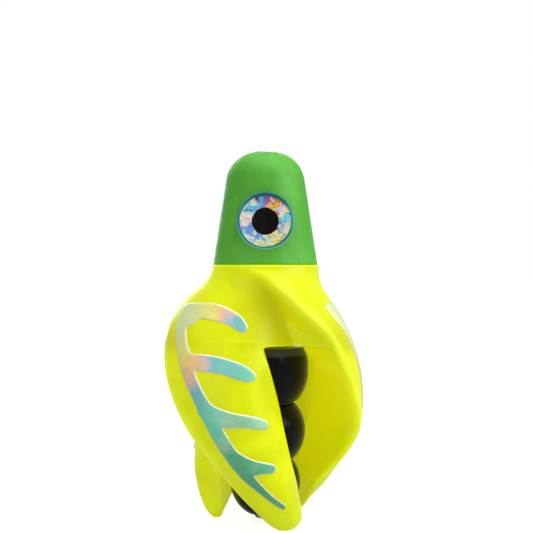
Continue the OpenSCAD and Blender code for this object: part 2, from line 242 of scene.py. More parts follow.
class Finish:
    """A material with one shader, whose varying inputs are built from a few kinds of node."""

    def __init__(self, name, **settings):
        self.material = bpy.data.materials.new(name)
        self.material.use_nodes = True
        self.tree = self.material.node_tree
        self.shader = self.tree.nodes["Principled BSDF"]
        for key, value in settings.items():
            self.shader.inputs[key.replace("_", " ")].default_value = value

    def node(self, kind, **settings):
        made = self.tree.nodes.new(kind)
        for key, value in settings.items():
            setattr(made, key, value)
        return made

    def feed(self, socket, value):
        if isinstance(value, bpy.types.NodeSocket):
            self.tree.links.new(value, socket)
        elif value is not None:
            socket.default_value = value

    def position(self):
        return self.node("ShaderNodeTexCoord").outputs["Object"]

    def stored(self, name):
        return self.node("ShaderNodeAttribute", attribute_name=name).outputs["Fac"]

    def stretched(self, scale, turn=(0, 0, 0)):
        made = self.node("ShaderNodeMapping")
        self.feed(made.inputs["Vector"], self.position())
        made.inputs["Scale"].default_value = scale
        made.inputs["Rotation"].default_value = turn
        return made.outputs["Vector"]

    def noise(self, per_mm, detail=3, distortion=0, place=None):
        made = self.node("ShaderNodeTexNoise")
        self.feed(made.inputs["Vector"], place or self.position())
        made.inputs["Scale"].default_value = per_mm / MM
        made.inputs["Detail"].default_value = detail
        made.inputs["Distortion"].default_value = distortion
        return made.outputs["Fac"]

    def cells(self, per_mm, output="Color"):
        made = self.node("ShaderNodeTexVoronoi", feature="F1")
        self.feed(made.inputs["Vector"], self.position())
        made.inputs["Scale"].default_value = per_mm / MM
        return made.outputs[output]

    def ramp(self, value, stops):
        made = self.node("ShaderNodeValToRGB")
        self.feed(made.inputs["Fac"], value)
        points = made.color_ramp.elements
        while len(points) < len(stops):
            points.new(0.5)
        for point, (place, colour) in zip(points, stops):
            point.position = place
            point.color = (*colour, 1)
        return made.outputs["Color"]

    def mix(self, share, first, second, blend="MIX"):
        made = self.node("ShaderNodeMix", data_type="RGBA", blend_type=blend)
        self.feed(made.inputs[0], share)
        for socket, value in ((made.inputs[6], first), (made.inputs[7], second)):
            self.feed(socket, (*value, 1) if isinstance(value, tuple) else value)
        return made.outputs[2]

    def maths(self, operation, *values):
        made = self.node("ShaderNodeMath", operation=operation)
        for socket, value in zip(made.inputs, values):
            self.feed(socket, value)
        return made.outputs[0]

    def between(self, value, start, end, first=0, last=1):
        made = self.node("ShaderNodeMapRange", interpolation_type="SMOOTHSTEP")
        for socket, number in zip(made.inputs, (value, start, end, first, last)):
            self.feed(socket, number)
        return made.outputs[0]

    def bump(self, height, depth_mm, strength=1.0, after=None):
        made = self.node("ShaderNodeBump")
        self.feed(made.inputs["Height"], height)
        made.inputs["Distance"].default_value = depth_mm * MM
        made.inputs["Strength"].default_value = strength
        self.feed(made.inputs["Normal"], after)
        self.feed(self.shader.inputs["Normal"], made.outputs["Normal"])
        return made.outputs["Normal"]

    def colour(self, value):
        self.feed(self.shader.inputs["Base Color"], value)

    def roughness(self, value):
        self.feed(self.shader.inputs["Roughness"], value)


# ---------------------------------------------------------------- materials

# Heights and radii that the patterns and the painted sheen on the upper bead's top follow, in millimetres
TOP_SHEEN_Z = 31.4
PUPIL_R = 2.5
IRIS_R = 4.72

# Painted light: the wings' glow, on their skin and deep inside, partly the vinyl's fluorescence and partly a
# lift for their shaded sides and insides
SKIN_PAINTED_GLOW = 0.69
DEEP_PAINTED_GLOW = 0.80


def vinyl():
    """Fluorescent chartreuse with faint moulding swirls, and painted light: shade in the valleys, a brighter
    colour deep inside, paler thin edges where light would shine through, and a glow that is partly
    fluorescence.
    """
    finish = Finish("wing_vinyl", Subsurface_Weight=0.75, Subsurface_Scale=2.2 * MM, Specular_IOR_Level=0.22,
                    Coat_Weight=0.12, Coat_Roughness=0.15)
    finish.shader.inputs["Subsurface Radius"].default_value = (1.0, 1.0, 0.1)
    finish.shader.inputs["Specular Tint"].default_value = (1.0, 1.0, 0.5, 1.0)
    cloud = finish.noise(0.09, detail=2, distortion=1.5)
    body = finish.mix(finish.between(cloud, 0.35, 0.68), (0.44, 0.49, 0.001), (0.49, 0.55, 0.002))
    # Painted shade in the valleys between the wings
    shaded = finish.mix(finish.stored("valley"), body, (0.38, 0.385, 0.0006))
    # Painted light: deep inside the wings the colour turns brighter and warmer, as light through the walls
    # would make it
    deep = finish.mix(finish.stored("hollow"), shaded, (0.52, 0.51, 0.001))
    # Painted light: paler at the thin edges and tips, where light would shine through the vinyl
    pale = finish.mix(finish.stored("thin"), deep, (0.56, 0.66, 0.03))
    slanted = finish.stretched((1, 1, 0.35), (0.3, 0.5, 0.2))
    streak = finish.noise(0.35, detail=4, distortion=2.5, place=slanted)
    finish.colour(finish.mix(finish.between(streak, 0.62, 0.75, 0, 0.15), pale, (0.62, 0.68, 0.08)))
    finish.roughness(finish.between(cloud, 0.3, 0.7, 0.3, 0.42))
    # The glow is partly the vinyl's fluorescence and partly painted light that lifts the shaded sides,
    # stronger deep inside
    finish.feed(finish.shader.inputs["Emission Color"], deep)
    glow = finish.between(finish.stored("hollow"), 0, 1, SKIN_PAINTED_GLOW, DEEP_PAINTED_GLOW)
    finish.feed(finish.shader.inputs["Emission Strength"], glow)
    swirl = finish.node("ShaderNodeTexWave", wave_type="RINGS", rings_direction="SPHERICAL")
    finish.feed(swirl.inputs["Vector"], finish.stretched((1, 1, 0.6)))
    swirl.inputs["Scale"].default_value = 0.25 / MM
    swirl.inputs["Distortion"].default_value = 9
    swirl.inputs["Detail"].default_value = 2
    rings = finish.bump(swirl.outputs["Fac"], 0.012)
    finish.bump(finish.noise(2.2, detail=4), 0.02, after=rings)
    return finish.material


def green_paint():
    """Matte green with painted shade round the eyes, and a teal line at the edge of their pockets, a painted
    reflection of the green in the lenses' rims.
    """
    finish = Finish("head_paint", Specular_IOR_Level=0.42, Subsurface_Weight=0.08, Subsurface_Scale=1 * MM)
    cloud = finish.noise(0.12, detail=3, distortion=0.6)
    body = finish.mix(finish.between(cloud, 0.3, 0.7), (0.063, 0.36, 0.017), (0.10, 0.47, 0.027))
    # Painted shade round the eyes
    shaded = finish.mix(finish.stored("painted_eye_shade"), body, (0.045, 0.27, 0.008))
    # A teal line at the pocket's edge, a painted reflection of the green in the lens's rim
    finish.colour(finish.mix(finish.stored("painted_rim_reflection"), shaded, (0.05, 0.34, 0.27)))
    finish.roughness(finish.between(finish.noise(0.8), 0.3, 0.7, 0.42, 0.56))
    finish.bump(finish.noise(3.5, detail=4), 0.015)
    return finish.material


def foil_print():
    """Iridescent foil with a cream outline. Its tone runs along the strokes, broken up by grain."""
    finish = Finish("foil_print", Metallic=0.2, Coat_Weight=0.3, Coat_Roughness=0.2)
    grain = finish.noise(5, detail=3)
    drift = finish.noise(0.5, detail=3)
    tone = finish.maths("ADD", finish.stored("tone"), finish.between(drift, 0.2, 0.8, -0.05, 0.05))
    tone = finish.maths("ADD", tone, finish.between(grain, 0.3, 0.7, -0.03, 0.03))
    iris = finish.ramp(tone, [
        (0.00, (0.72, 0.86, 0.48)), (0.12, (0.84, 0.90, 0.34)), (0.22, (0.98, 0.90, 0.22)),
        (0.30, (0.98, 0.66, 0.24)), (0.37, (0.86, 0.56, 0.40)), (0.43, (0.52, 0.56, 0.60)),
        (0.49, (0.20, 0.54, 0.60)), (0.57, (0.20, 0.60, 0.52)), (0.66, (0.15, 0.66, 0.44)),
        (0.76, (0.36, 0.66, 0.42)), (0.86, (0.10, 0.54, 0.28)), (0.94, (0.10, 0.44, 0.24)),
        (1.00, (0.16, 0.48, 0.24)),
    ])
    dots = finish.cells(3.2, "Distance")
    specks = finish.between(dots, 0.16, 0.10, 0, 0.5)
    glints = finish.mix(specks, iris, (0.85, 0.92, 0.85))
    fine = finish.between(finish.noise(9, detail=1), 0.64, 0.72, 0, 0.4)
    dusty = finish.mix(fine, glints, (0.30, 0.24, 0.34))
    finish.colour(finish.mix(finish.between(finish.stored("inside"), 0.14, 0.24), (0.84, 0.84, 0.50), dusty))
    finish.roughness(finish.between(grain, 0.3, 0.7, 0.28, 0.5))
    finish.bump(finish.noise(6, detail=3), 0.03, 0.7)
    return finish.material


def eye_foil():
    """Crinkled holographic foil, whose hues go round the eye in patches, with a black pupil, painted shade
    along its folds, and a teal rim that is a painted reflection of the green head.
    """
    finish = Finish("eye_foil", Metallic=0.3, Specular_IOR_Level=0.05)
    across, up = finish.stored("across"), finish.stored("up")
    around = finish.maths("DIVIDE", finish.maths("ARCTAN2", up, across), 2 * math.pi)
    crinkle = finish.noise(0.25, detail=3, distortion=1)
    patches = finish.cells(0.8, "Distance")
    hue = finish.maths("ADD", around, finish.between(crinkle, 0.3, 0.7, -0.08, 0.08))
    hue = finish.maths("FRACT", finish.maths("ADD", hue, finish.between(patches, 0, 0.8, 0.46, 0.54)))
    hues = finish.ramp(hue, [
        (0.00, (0.86, 0.62, 0.60)), (0.07, (0.92, 0.88, 0.80)), (0.12, (0.34, 0.30, 0.80)),
        (0.17, (0.04, 0.46, 0.90)), (0.23, (0.86, 0.90, 0.60)), (0.31, (0.94, 0.84, 0.22)),
        (0.40, (0.96, 0.80, 0.30)), (0.46, (0.50, 0.60, 0.70)), (0.54, (0.05, 0.62, 0.95)),
        (0.59, (0.98, 0.80, 0.06)), (0.65, (0.96, 0.36, 0.06)), (0.71, (0.40, 0.12, 0.55)),
        (0.78, (0.26, 0.14, 0.60)), (0.86, (0.16, 0.62, 0.80)), (0.93, (0.90, 0.86, 0.80)),
        (1.00, (0.86, 0.62, 0.60)),
    ])
    flecks = finish.cells(1.3)
    lively = finish.mix(0.3, hues, flecks, "SOFT_LIGHT")
    silver = finish.between(finish.noise(0.4, detail=3, distortion=1.2), 0.54, 0.6, 0, 0.75)
    bright = finish.mix(silver, lively, (0.95, 0.90, 0.78))
    sheets = finish.noise(0.28, detail=3, distortion=1.6)
    folds = finish.maths("ABSOLUTE", finish.maths("SUBTRACT", sheets, 0.5))
    # Painted shade: dark lines along the folds of the crinkled foil
    fold_shaded = finish.mix(finish.between(folds, 0.002, 0.014, 0.9, 0), bright, (0.06, 0.04, 0.09))
    out = finish.stored("out")
    dust = finish.between(finish.cells(3.2, "Distance"), 0.2, 0.12, 0, 0.5)
    black = finish.mix(dust, (0.003, 0.002, 0.002), (0.34, 0.26, 0.14))
    ragged = finish.maths("ADD", out, finish.between(finish.noise(2), 0.3, 0.7, -0.05, 0.05))
    iris = finish.mix(finish.between(ragged, PUPIL_R - 0.04, PUPIL_R + 0.04), black, fold_shaded)
    # Past the iris, a teal rim: a painted reflection of the green head in the lens's edge
    finish.colour(finish.mix(finish.between(out, IRIS_R - 0.1, IRIS_R + 0.1), iris, (0.03, 0.26, 0.22)))
    finish.roughness(finish.between(crinkle, 0.3, 0.7, 0.25, 0.45))
    finish.bump(finish.noise(1.8, detail=4, distortion=2), 0.12, 0.8)
    return finish.material


def clear_resin():
    """Clear resin, with soft waves on its face."""
    finish = Finish("clear_resin", Base_Color=(1, 1, 1, 1), Transmission_Weight=1.0, IOR=1.3, Alpha=0.18,
                    Specular_IOR_Level=0.1)
    finish.roughness(finish.between(finish.noise(0.5), 0.3, 0.7, 0.02, 0.06))
    finish.bump(finish.noise(0.4, detail=1), 0.02, 0.4)
    return finish.material


def black_gloss():
    """Glossy black moulding with faint flow marks and scratches, greyer round the top, a painted sheen."""
    finish = Finish("bead_gloss", Specular_IOR_Level=0.13, Sheen_Weight=0.5, Sheen_Roughness=0.3)
    finish.shader.inputs["Specular Tint"].default_value = (0.8, 0.85, 1.0, 1.0)
    cloud = finish.noise(0.25, detail=3, distortion=1)
    black = finish.mix(cloud, (0.002, 0.002, 0.003), (0.006, 0.006, 0.008))
    apart = finish.node("ShaderNodeSeparateXYZ")
    finish.feed(apart.inputs[0], finish.position())
    # Painted sheen: above this height the bead is greyer, as light from above would make it
    top_sheen = finish.between(apart.outputs["Z"], (TOP_SHEEN_Z - 0.1) * MM, (TOP_SHEEN_Z + 0.1) * MM)
    finish.colour(finish.mix(top_sheen, black, (0.050, 0.054, 0.062)))
    scratch = finish.noise(1.2, detail=5, distortion=0.5, place=finish.stretched((6, 1, 1), (0.4, 0.2, 0.9)))
    finish.roughness(finish.between(scratch, 0.35, 0.7, 0.16, 0.3))
    finish.bump(cloud, 0.05, 0.5)
    return finish.material


def steel():
    """Turned stainless steel."""
    finish = Finish("turned_steel", Metallic=1.0)
    grooves = finish.noise(1.5, detail=4, place=finish.stretched((0.6, 0.6, 9)))
    finish.colour(finish.mix(grooves, (0.50, 0.51, 0.52), (0.68, 0.69, 0.70)))
    finish.roughness(finish.between(grooves, 0.3, 0.7, 0.22, 0.4))
    finish.bump(grooves, 0.01)
    return finish.material


def acetal():
    """Natural acetal, a waxy off-white."""
    finish = Finish("natural_acetal", Subsurface_Weight=0.3, Subsurface_Scale=1 * MM)
    cloud = finish.noise(0.6, detail=3)
    finish.colour(finish.mix(cloud, (0.72, 0.72, 0.66), (0.82, 0.82, 0.78)))
    finish.roughness(finish.between(cloud, 0.3, 0.7, 0.35, 0.5))
    finish.bump(finish.noise(4), 0.01)
    return finish.material


VINYL = vinyl()
GREEN = green_paint()
FOIL = foil_print()
EYE = eye_foil()
RESIN = clear_resin()
BLACK = black_gloss()
STEEL = steel()
ACETAL = acetal()

# ---------------------------------------------------------------- the wing shroud

HUB_Z = low("wing_hub").z
JOINT_Z = low("head_shell").z
LEAD_T = 1.3
INNER_BOW = 0.85
CAVITY_TIP_R = 8.1
CAVITY_TOP_R = 9.1
TIP_ROUND_H = 1.5
TIP_INNER_R = 9.1
SPIGOT_R = 8
SPIGOT_H = 2.5

# Near the tip the wall and the leading edge thin to these shares, and the wall keeps this many degrees
WALL_SHARE = 0.7
EDGE_SHARE = 0.8
LEAST_WALL_A = 2

# The root of a wing inside the hub: how much smaller it is, in millimetres and in degrees for each
# millimetre at its two edges, and how far up it reaches
ROOT_INSET = 0.3
TRAIL_INSET_A, LEAD_INSET_A = 5, 3
ROOT_RISE = 1.2

# How the wings' skin is made even and soft: the size of its cells, the rounds of smoothing and their reach
# round the bottom of a valley, and how far from the hub's foot and from the head the smoothing starts
WING_CELL = 0.24
VALLEY_ROUNDS = 160
VALLEY_WIDTH = 3.5
VALLEY_FOOT, VALLEY_HEAD, VALLEY_FADE = 0.6, 1.2, 1.5

# What is cut for the lower bush: how far its flange stands out past its sleeve, how deep the flange sits,
# and the hole in the middle of the cutter, which leaves a thin thread on the axis, inside the tube
FLANGE_REACH = 1.6
SEAT_DEPTH = 0.8
SEAT_MIDDLE_R = 0.2

# Painted light: a wing is paler at its thin edges and tips, where light would shine through
# Paleness of a wing: its reach in front of an edge and behind it, the edge's radius where it starts and
# what is added until it is full, and its height and strength on the tips
PALE_EDGE, PALE_BEHIND = 1.6, 1.5
PALE_START_R, PALE_RANGE = 11, 5
PALE_TIP, PALE_TIP_SHARE = 4, 0.6

# Painted light inside the wings: a brighter colour and a stronger glow, which stand in for light through the
# walls
# The glow inside the wings: the depth where it starts and what is added until it is full, and the height
# where it ends and what is taken off until it is full
DEEP_START, DEEP_RANGE = 0.6, 4
DEEP_TOP, DEEP_FADE = 42, 7

# Shade in the valleys: the height where it ends and what is taken off until it is full, its width, and how
# much wider it gets for each millimetre below the top of the glow
SHADE_TOP, SHADE_FADE = 47, 4
SHADE_WIDTH, SHADE_SPREAD = 4.5, 0.6

# The degrees past its two edges that still count as a wing, and a distance that no point has
EDGE_SLACK_A = 2
FAR = 99.0

# The curves of a wing, from its tip to the neck, as in the part: angles in degrees, radii in millimetres
WING_Z = [0, 0.5, 1.5, 3, 6, 9, 13, 18, 24, 29, 33.5, 37, 40, 43, 45.5, 47.5, 48.4]
LEAD_A = [17, 12, 4, -6.5, -26, -32, -37, -46, -60, -70, -78, -87, -95, -105, -120, -135, -140]
LEAD_R = [9.7, 9.6, 9.5, 9.4, 9.8, 12.4, 15.8, 18.4, 19.4, 19.7, 19.3, 18.5, 16.9, 14.6, 11.8, 10.3, 10.2]
TRAIL_A = [29, 36, 41, 40.5, 35.5, 31, 25, 18, 10, 4, -2, -2, -2, -2, -2, -2, -2]
START_A = [29, 36, 41, 40.5, 35.5, 31, 25, 19, 13, 16, 40, 27, 13, 4, -8, -25, -35]
START_R = [9.8, 9.8, 10, 10.3, 10.7, 11.1, 11.1, 11.1, 11, 10.4, 9.5, 9.5, 9.6, 9.8, 10.1, 10.2, 10.2]
FULL1_R = [10.2, 11, 12.3, 13.6, 16.2, 17.4, 17.6, 17.6, 17.6, 16, 9.2, 9.5, 10.2, 10.2, 10.3, 10.2, 10.2]
FULL2_R = [10.2, 10.9, 11.6, 12.7, 13.9, 15, 16.7, 17.8, 18.2, 18.3, 18, 17.8, 16.3, 14.2, 11.7, 10.3, 10.2]
INNER_A = [4, 6, 10, 16, 30, 38, 42, 40, 34, 26, 8, 8, 8, 8, 8, 8, 8]
INNER_FULL = [1, 1, 1, 1, 1, 1, 1, 1, 1, 1.25, 4, 4, 4, 4, 4, 4, 4]
SLANT_A = [0, 1, 2, 4, 6, 6, 6, 6, 5, 2, 0, 0, 0, 0, 0, 0, 0]


def wing_at(values, z):
    """Value at height z of the smooth curve through the stations."""
    xs, ys = np.array(WING_Z), np.array(values, float)
    last = len(xs) - 1
    ahead, behind = np.minimum(np.arange(last + 1) + 1, last), np.maximum(np.arange(last + 1) - 1, 0)
    slopes = (ys[ahead] - ys[behind]) / (xs[ahead] - xs[behind])
    z = np.asarray(z, float)
    i = np.clip(np.searchsorted(xs, z, side="right") - 1, 0, last - 1)
    width = xs[i + 1] - xs[i]
    t = (z - xs[i]) / width
    return smooth_curve(t, ys[i], ys[i + 1], width * slopes[i], width * slopes[i + 1])


def skin_r(angle, z):
    """Radius of the outer skin of the first wing."""
    start, lead = wing_at(START_A, z), wing_at(LEAD_A, z)
    t = np.clip((start - angle) / (start - lead), 0, 1)
    s = 1 - t
    return (s**3 * wing_at(START_R, z) + 3 * s**2 * t * wing_at(FULL1_R, z)
            + 3 * s * t**2 * wing_at(FULL2_R, z) + t**3 * wing_at(LEAD_R, z))


def cavity_r(z):
    return CAVITY_TIP_R + (CAVITY_TOP_R - CAVITY_TIP_R) * z / HUB_Z


def wing_section(z, inset=0.0):
    """One horizontal section of a wing: outer skin, rounded leading edge, inner face, cavity wall."""
    skin_steps, nose_steps, inner_steps, arc_steps = 60, 12, 36, 20
    trail, lead = wing_at(TRAIL_A, z) - inset * TRAIL_INSET_A, wing_at(LEAD_A, z) + inset * LEAD_INSET_A
    lead_r = wing_at(LEAD_R, z) - inset
    inside_r = cavity_r(z) + (TIP_INNER_R - cavity_r(z)) * max(0, 1 - z / TIP_ROUND_H) ** 2
    cavity = min(inside_r, lead_r - LEAD_T * WALL_SHARE)
    edge = min(LEAD_T, (lead_r - cavity) * EDGE_SHARE)
    hollow_a = min(lead + wing_at(INNER_A, z), trail - LEAST_WALL_A)
    bow = INNER_BOW * wing_at(INNER_FULL, z)
    skin_a = np.linspace(trail, lead, skin_steps + 1)
    nose = np.radians(np.linspace(0, 180, nose_steps + 1)[1:-1])
    nose_r = lead_r - edge / 2 + edge / 2 * np.cos(nose)
    inner = np.linspace(0, 1, inner_steps + 1)
    arc_a = np.linspace(hollow_a, trail + wing_at(SLANT_A, z), arc_steps + 1)[1:]
    return np.concatenate([
        at(skin_r(skin_a, z) - inset, skin_a, z),
        at(nose_r, lead - np.degrees(edge / 2 * np.sin(nose) / lead_r), z),
        at(cavity + (lead_r - edge - cavity) * (1 - inner) ** bow, lead + (hollow_a - lead) * inner, z),
        at(cavity, arc_a, z),
    ])


def hub_section(z):
    """One horizontal section of the hub: each wing's skin, and the valley wall behind its edge."""
    skin_steps, valley_steps = 60, 24
    start, lead = wing_at(START_A, z), wing_at(LEAD_A, z)
    start_r, lead_r = wing_at(START_R, z), wing_at(LEAD_R, z)
    skin_a = np.linspace(start, lead, skin_steps + 1)
    u = np.linspace(0, 1, valley_steps + 1)[1:-1]
    valley_a = lead + (start - 360 / WING_COUNT - lead) * u
    valley_r = start_r + (lead_r - start_r) * (1 + np.cos(np.pi * u)) / 2
    parts = []
    for w in range(WING_COUNT):
        turn = -w * 360 / WING_COUNT
        parts += [at(skin_r(skin_a, z), skin_a + turn, z), at(valley_r, valley_a + turn, z)]
    return np.concatenate(parts)


def wing_layers():
    """Heights of a wing's layers, close together where its tip rounds off."""
    tip_h, tip_ease, tip_layers, layers = 4.6, 1.7, 24, 90
    tip = tip_h * np.linspace(0, 1, tip_layers) ** tip_ease
    return np.concatenate([tip, np.linspace(tip_h, HUB_Z, layers)[1:]])


def angle_past(angle, line, w):
    """How far an angle is past a line on wing w, from -180 to 180 degrees."""
    return (angle - w * 360 / WING_COUNT - line + 540) % 360 - 180


def wing_marks(points):
    """How pale the moulding is painted at its thin edges and tips, painted light where light would shine
    through, and how far a point lies inside, each from 0 to 1.
    """
    radius, angle = around_axis(points)
    heights = np.clip(points[:, 2], 0, JOINT_Z)
    lead, start = wing_at(LEAD_A, heights), wing_at(START_A, heights)
    thin, depth = np.zeros(len(points)), np.full(len(points), FAR)
    for w in range(WING_COUNT):
        own = angle_past(angle, lead, w)
        from_edge = np.radians(own) * radius
        pale = np.exp(-(np.maximum(from_edge, 0) / PALE_EDGE) ** 2) * (from_edge > -PALE_BEHIND)
        thin = np.maximum(thin, pale)
        on_wing = (own > -EDGE_SLACK_A) & (own < start - lead + EDGE_SLACK_A)
        skin = skin_r(lead + np.clip(own, 0, start - lead), heights)
        depth = np.where(on_wing, np.minimum(depth, skin - radius), depth)
    depth = np.where(depth == FAR, wing_at(LEAD_R, heights) - radius, depth)
    tip = np.exp(-(heights / PALE_TIP) ** 2)
    flare = np.clip((wing_at(LEAD_R, heights) - PALE_START_R) / PALE_RANGE, 0, 1)
    hollow = np.clip((depth - DEEP_START) / DEEP_RANGE, 0, 1)
    return np.clip(thin * flare * (1 - hollow) + PALE_TIP_SHARE * tip, 0, 1), hollow


def blurred(mesh, values, rounds):
    """Values of a mesh's points, each evened out with its neighbours'."""
    edges = np.zeros(len(mesh.edges) * 2, np.int32)
    mesh.edges.foreach_get("vertices", edges)
    a, b = edges.reshape(-1, 2).T
    count = np.bincount(a, minlength=len(values)) + np.bincount(b, minlength=len(values))
    for _ in range(rounds):
        total = np.bincount(a, values[b], len(values)) + np.bincount(b, values[a], len(values))
        values = (values + total / np.maximum(count, 1)) / 2
    return values


def valley_share(points, width):
    """How close each point is to the bottom of a valley between two wings, from 0 to 1."""
    radius, angle = around_axis(points)
    heights = np.clip(points[:, 2], HUB_Z, JOINT_Z)
    bottom = wing_at(START_A, heights) - 360 / WING_COUNT
    weight = np.zeros(len(points))
    for w in range(WING_COUNT):
        own = angle_past(angle, bottom, w)
        weight = np.maximum(weight, np.exp(-(np.radians(own) * radius / width) ** 2))
    return weight * (radius > SPIGOT_R + 0.5) * (points[:, 2] > HUB_Z - 1)


def rough_shroud():
    """The hub, the wings and the spigot as one mesh of overlapping solids."""
    solids = [loft(np.stack([hub_section(z) for z in np.linspace(HUB_Z, JOINT_Z, 60)]))]
    root = wing_section(HUB_Z, ROOT_INSET) + np.array([0, 0, ROOT_RISE])
    points, faces = loft(np.stack([wing_section(z) for z in wing_layers()] + [root]))
    for w in range(WING_COUNT):
        solids.append((turned(points, w * 360 / WING_COUNT), faces))
    solids.append(cylinder(SPIGOT_R, JOINT_Z - 1, JOINT_Z + SPIGOT_H, steps=128))
    all_points, all_faces, start = [], [], 0
    for solid_points, solid_faces in solids:
        all_points.append(solid_points)
        all_faces += [[start + i for i in face] for face in solid_faces]
        start += len(solid_points)
    return mesh_object("wing_moulding", np.concatenate(all_points), all_faces)


def bush_seat():
    """A solid for the bore up the hub and the seat of the lower bush's flange."""
    flange_r, flange_top = high("hub_bush").x, HUB_Z + SEAT_DEPTH
    bush_r = flange_r - FLANGE_REACH
    below, above = HUB_Z - 3, JOINT_Z + 9
    outline = [(SEAT_MIDDLE_R, below), (flange_r, below), (flange_r, flange_top), (bush_r, flange_top),
               (bush_r, above), (SEAT_MIDDLE_R, above)]
    return mesh_object("seat_cutter", *revolve(outline))


def mark_shroud(mesh):
    """Stores where the moulding is thin, hollow or in a valley, for its material's painted light and painted
    shade.
    """
    points = coordinates(mesh)
    height = points[:, 2]
    thin, hollow = wing_marks(points)
    width = SHADE_WIDTH + SHADE_SPREAD * np.clip(DEEP_TOP - height, 0, DEEP_FADE)
    valley = valley_share(points, width) * np.clip((SHADE_TOP - height) / SHADE_FADE, 0, 1)
    deep = hollow * np.clip((DEEP_TOP - height) / DEEP_FADE, 0, 1)
    for name, values, rounds in (("thin", thin, 10), ("hollow", deep, 60), ("valley", valley, 60)):
        add_value(mesh, name, blurred(mesh, values, rounds))


def make_shroud():
    shroud = rough_shroud()
    remeshed(shroud, voxel=WING_CELL, smoothing=4)
    points = coordinates(shroud.data)
    z = points[:, 2]
    above_foot = np.clip((z - HUB_Z - VALLEY_FOOT) / VALLEY_FADE, 0, 1)
    below_head = np.clip((JOINT_Z - VALLEY_HEAD - z) / VALLEY_FADE, 0, 1)
    softened(shroud, valley_share(points, VALLEY_WIDTH) * (above_foot * below_head), VALLEY_ROUNDS)
    cut(shroud, bush_seat())
    mark_shroud(shroud.data)
    finished(shroud, "rotor", VINYL, ["wing_hub", "wing_1", "wing_2", "wing_3"])


# ---------------------------------------------------------------- the foil prints

# Strokes drawn from the front: x, z, half width, and the tone of the foil from 0 to 1
SPINE = [
    (-13.9, 39.2, 1.75, 0.05), (-15.2, 37.6, 1.25, 0.04), (-15.4, 35.8, 1.1, 0.08), (-15, 33.5, 1.2, 0.18),
    (-14.3, 31, 1.35, 0.27), (-13.3, 28.1, 1.25, 0.37), (-12, 25.5, 1.25, 0.51), (-10.2, 22.4, 1.35, 0.62),
    (-8.4, 18.9, 1.35, 0.66), (-6.1, 15.3, 1.35, 0.84), (-3.3, 11.4, 1.15, 0.92), (-1.1, 9.1, 0.85, 0.95),
    (1, 7.1, 0.7, 0.98), (3.1, 5.4, 0.6, 1.0),
]
FINGERS = [
    [(-13.8, 39.7, 1.6, 0.06), (-11.7, 40, 1.45, 0.12), (-9, 39.8, 1.55, 0.24), (-6.8, 39.1, 1.4, 0.38),
     (-5.2, 38.2, 1.3, 0.50), (-4.1, 37.2, 1, 0.53)],
    [(-13.4, 31, 1.4, 0.28), (-10.6, 30.9, 1.5, 0.40), (-7.7, 30.5, 1.45, 0.54), (-5, 29.7, 1.45, 0.58),
     (-3.4, 29, 1.3, 0.72), (-2.5, 28.7, 0.95, 0.70)],
    [(-10.6, 22.8, 1.4, 0.62), (-8.4, 21.7, 1.6, 0.70), (-6.1, 21.2, 1.4, 0.76), (-3.6, 21, 1.15, 0.77),
     (-1.5, 20.6, 1.05, 0.76), (-0.3, 20.2, 0.85, 0.74)],
    [(-4.9, 14.2, 1.4, 0.86), (-2.7, 13, 1.5, 0.86), (-0.6, 12.8, 1.15, 0.86), (1, 12.6, 0.9, 0.87)],
]
FOIL_T = 0.2
FILLET = 0.9
TONE_REACH = 0.45

# The patch of the wing's skin that a print is cut from: its heights, the last angle, and its grid
PRINT_BOTTOM, PRINT_TOP = 4.4, 42
PRINT_LAST_A = 24
PRINT_ROWS, PRINT_COLUMNS = 330, 230
PRINT_CELL = 0.13

# How a print lies on the skin: its foot under it, its border above it, the width and the curve of its
# rounded edge, and the share of the foil's thickness that it rises by
PRINT_FOOT = 0.08
PRINT_LIFT = 0.05
PRINT_EDGE = 0.3
PRINT_EDGE_CURVE = 0.6
PRINT_RISE_SHARE = 0.9


def eased(stroke, steps=4):
    """A stroke with more points, on the smooth curve through the drawn ones."""
    drawn = np.array(stroke)
    slopes = np.gradient(drawn, axis=0)
    points = []
    for k in range(len(drawn) - 1):
        for t in np.arange(steps) / steps:
            points.append(smooth_curve(t, drawn[k], drawn[k + 1], slopes[k], slopes[k + 1]))
    return points + [drawn[-1]]


STROKES = [eased(stroke) for stroke in [SPINE, *FINGERS]]


def stripe_field(x, z):
    """Distance to the stripe's outline, negative inside, and the foil's tone there."""
    nearest, tones, weights = [], 0.0, 0.0
    for stroke in STROKES:
        closest = np.inf
        for (x0, z0, w0, t0), (x1, z1, w1, t1) in zip(stroke, stroke[1:]):
            dx, dz = x1 - x0, z1 - z0
            along = np.clip(((x - x0) * dx + (z - z0) * dz) / (dx * dx + dz * dz), 0, 1)
            away = np.hypot(x - x0 - along * dx, z - z0 - along * dz) - (w0 + (w1 - w0) * along)
            weight = np.exp(-np.maximum(away, -2) / TONE_REACH)
            tones = tones + weight * (t0 + (t1 - t0) * along)
            weights = weights + weight
            closest = np.minimum(closest, away)
        nearest.append(closest)
    blended = sum(np.exp(-away * 4 / FILLET) for away in nearest)
    return -np.log(np.maximum(blended, 1e-30)) * FILLET / 4, tones / weights


def clipped_faces(inside, rows, columns):
    """Faces of a grid whose corners are all inside, and a triangle where only one corner isn't."""
    faces = []
    for i in range(rows - 1):
        for j in range(columns - 1):
            corners = [(i, j), (i, j + 1), (i + 1, j + 1), (i + 1, j)]
            kept = [r * columns + c for r, c in corners if inside[r, c]]
            if len(kept) >= 3:
                faces.append(kept)
    return faces


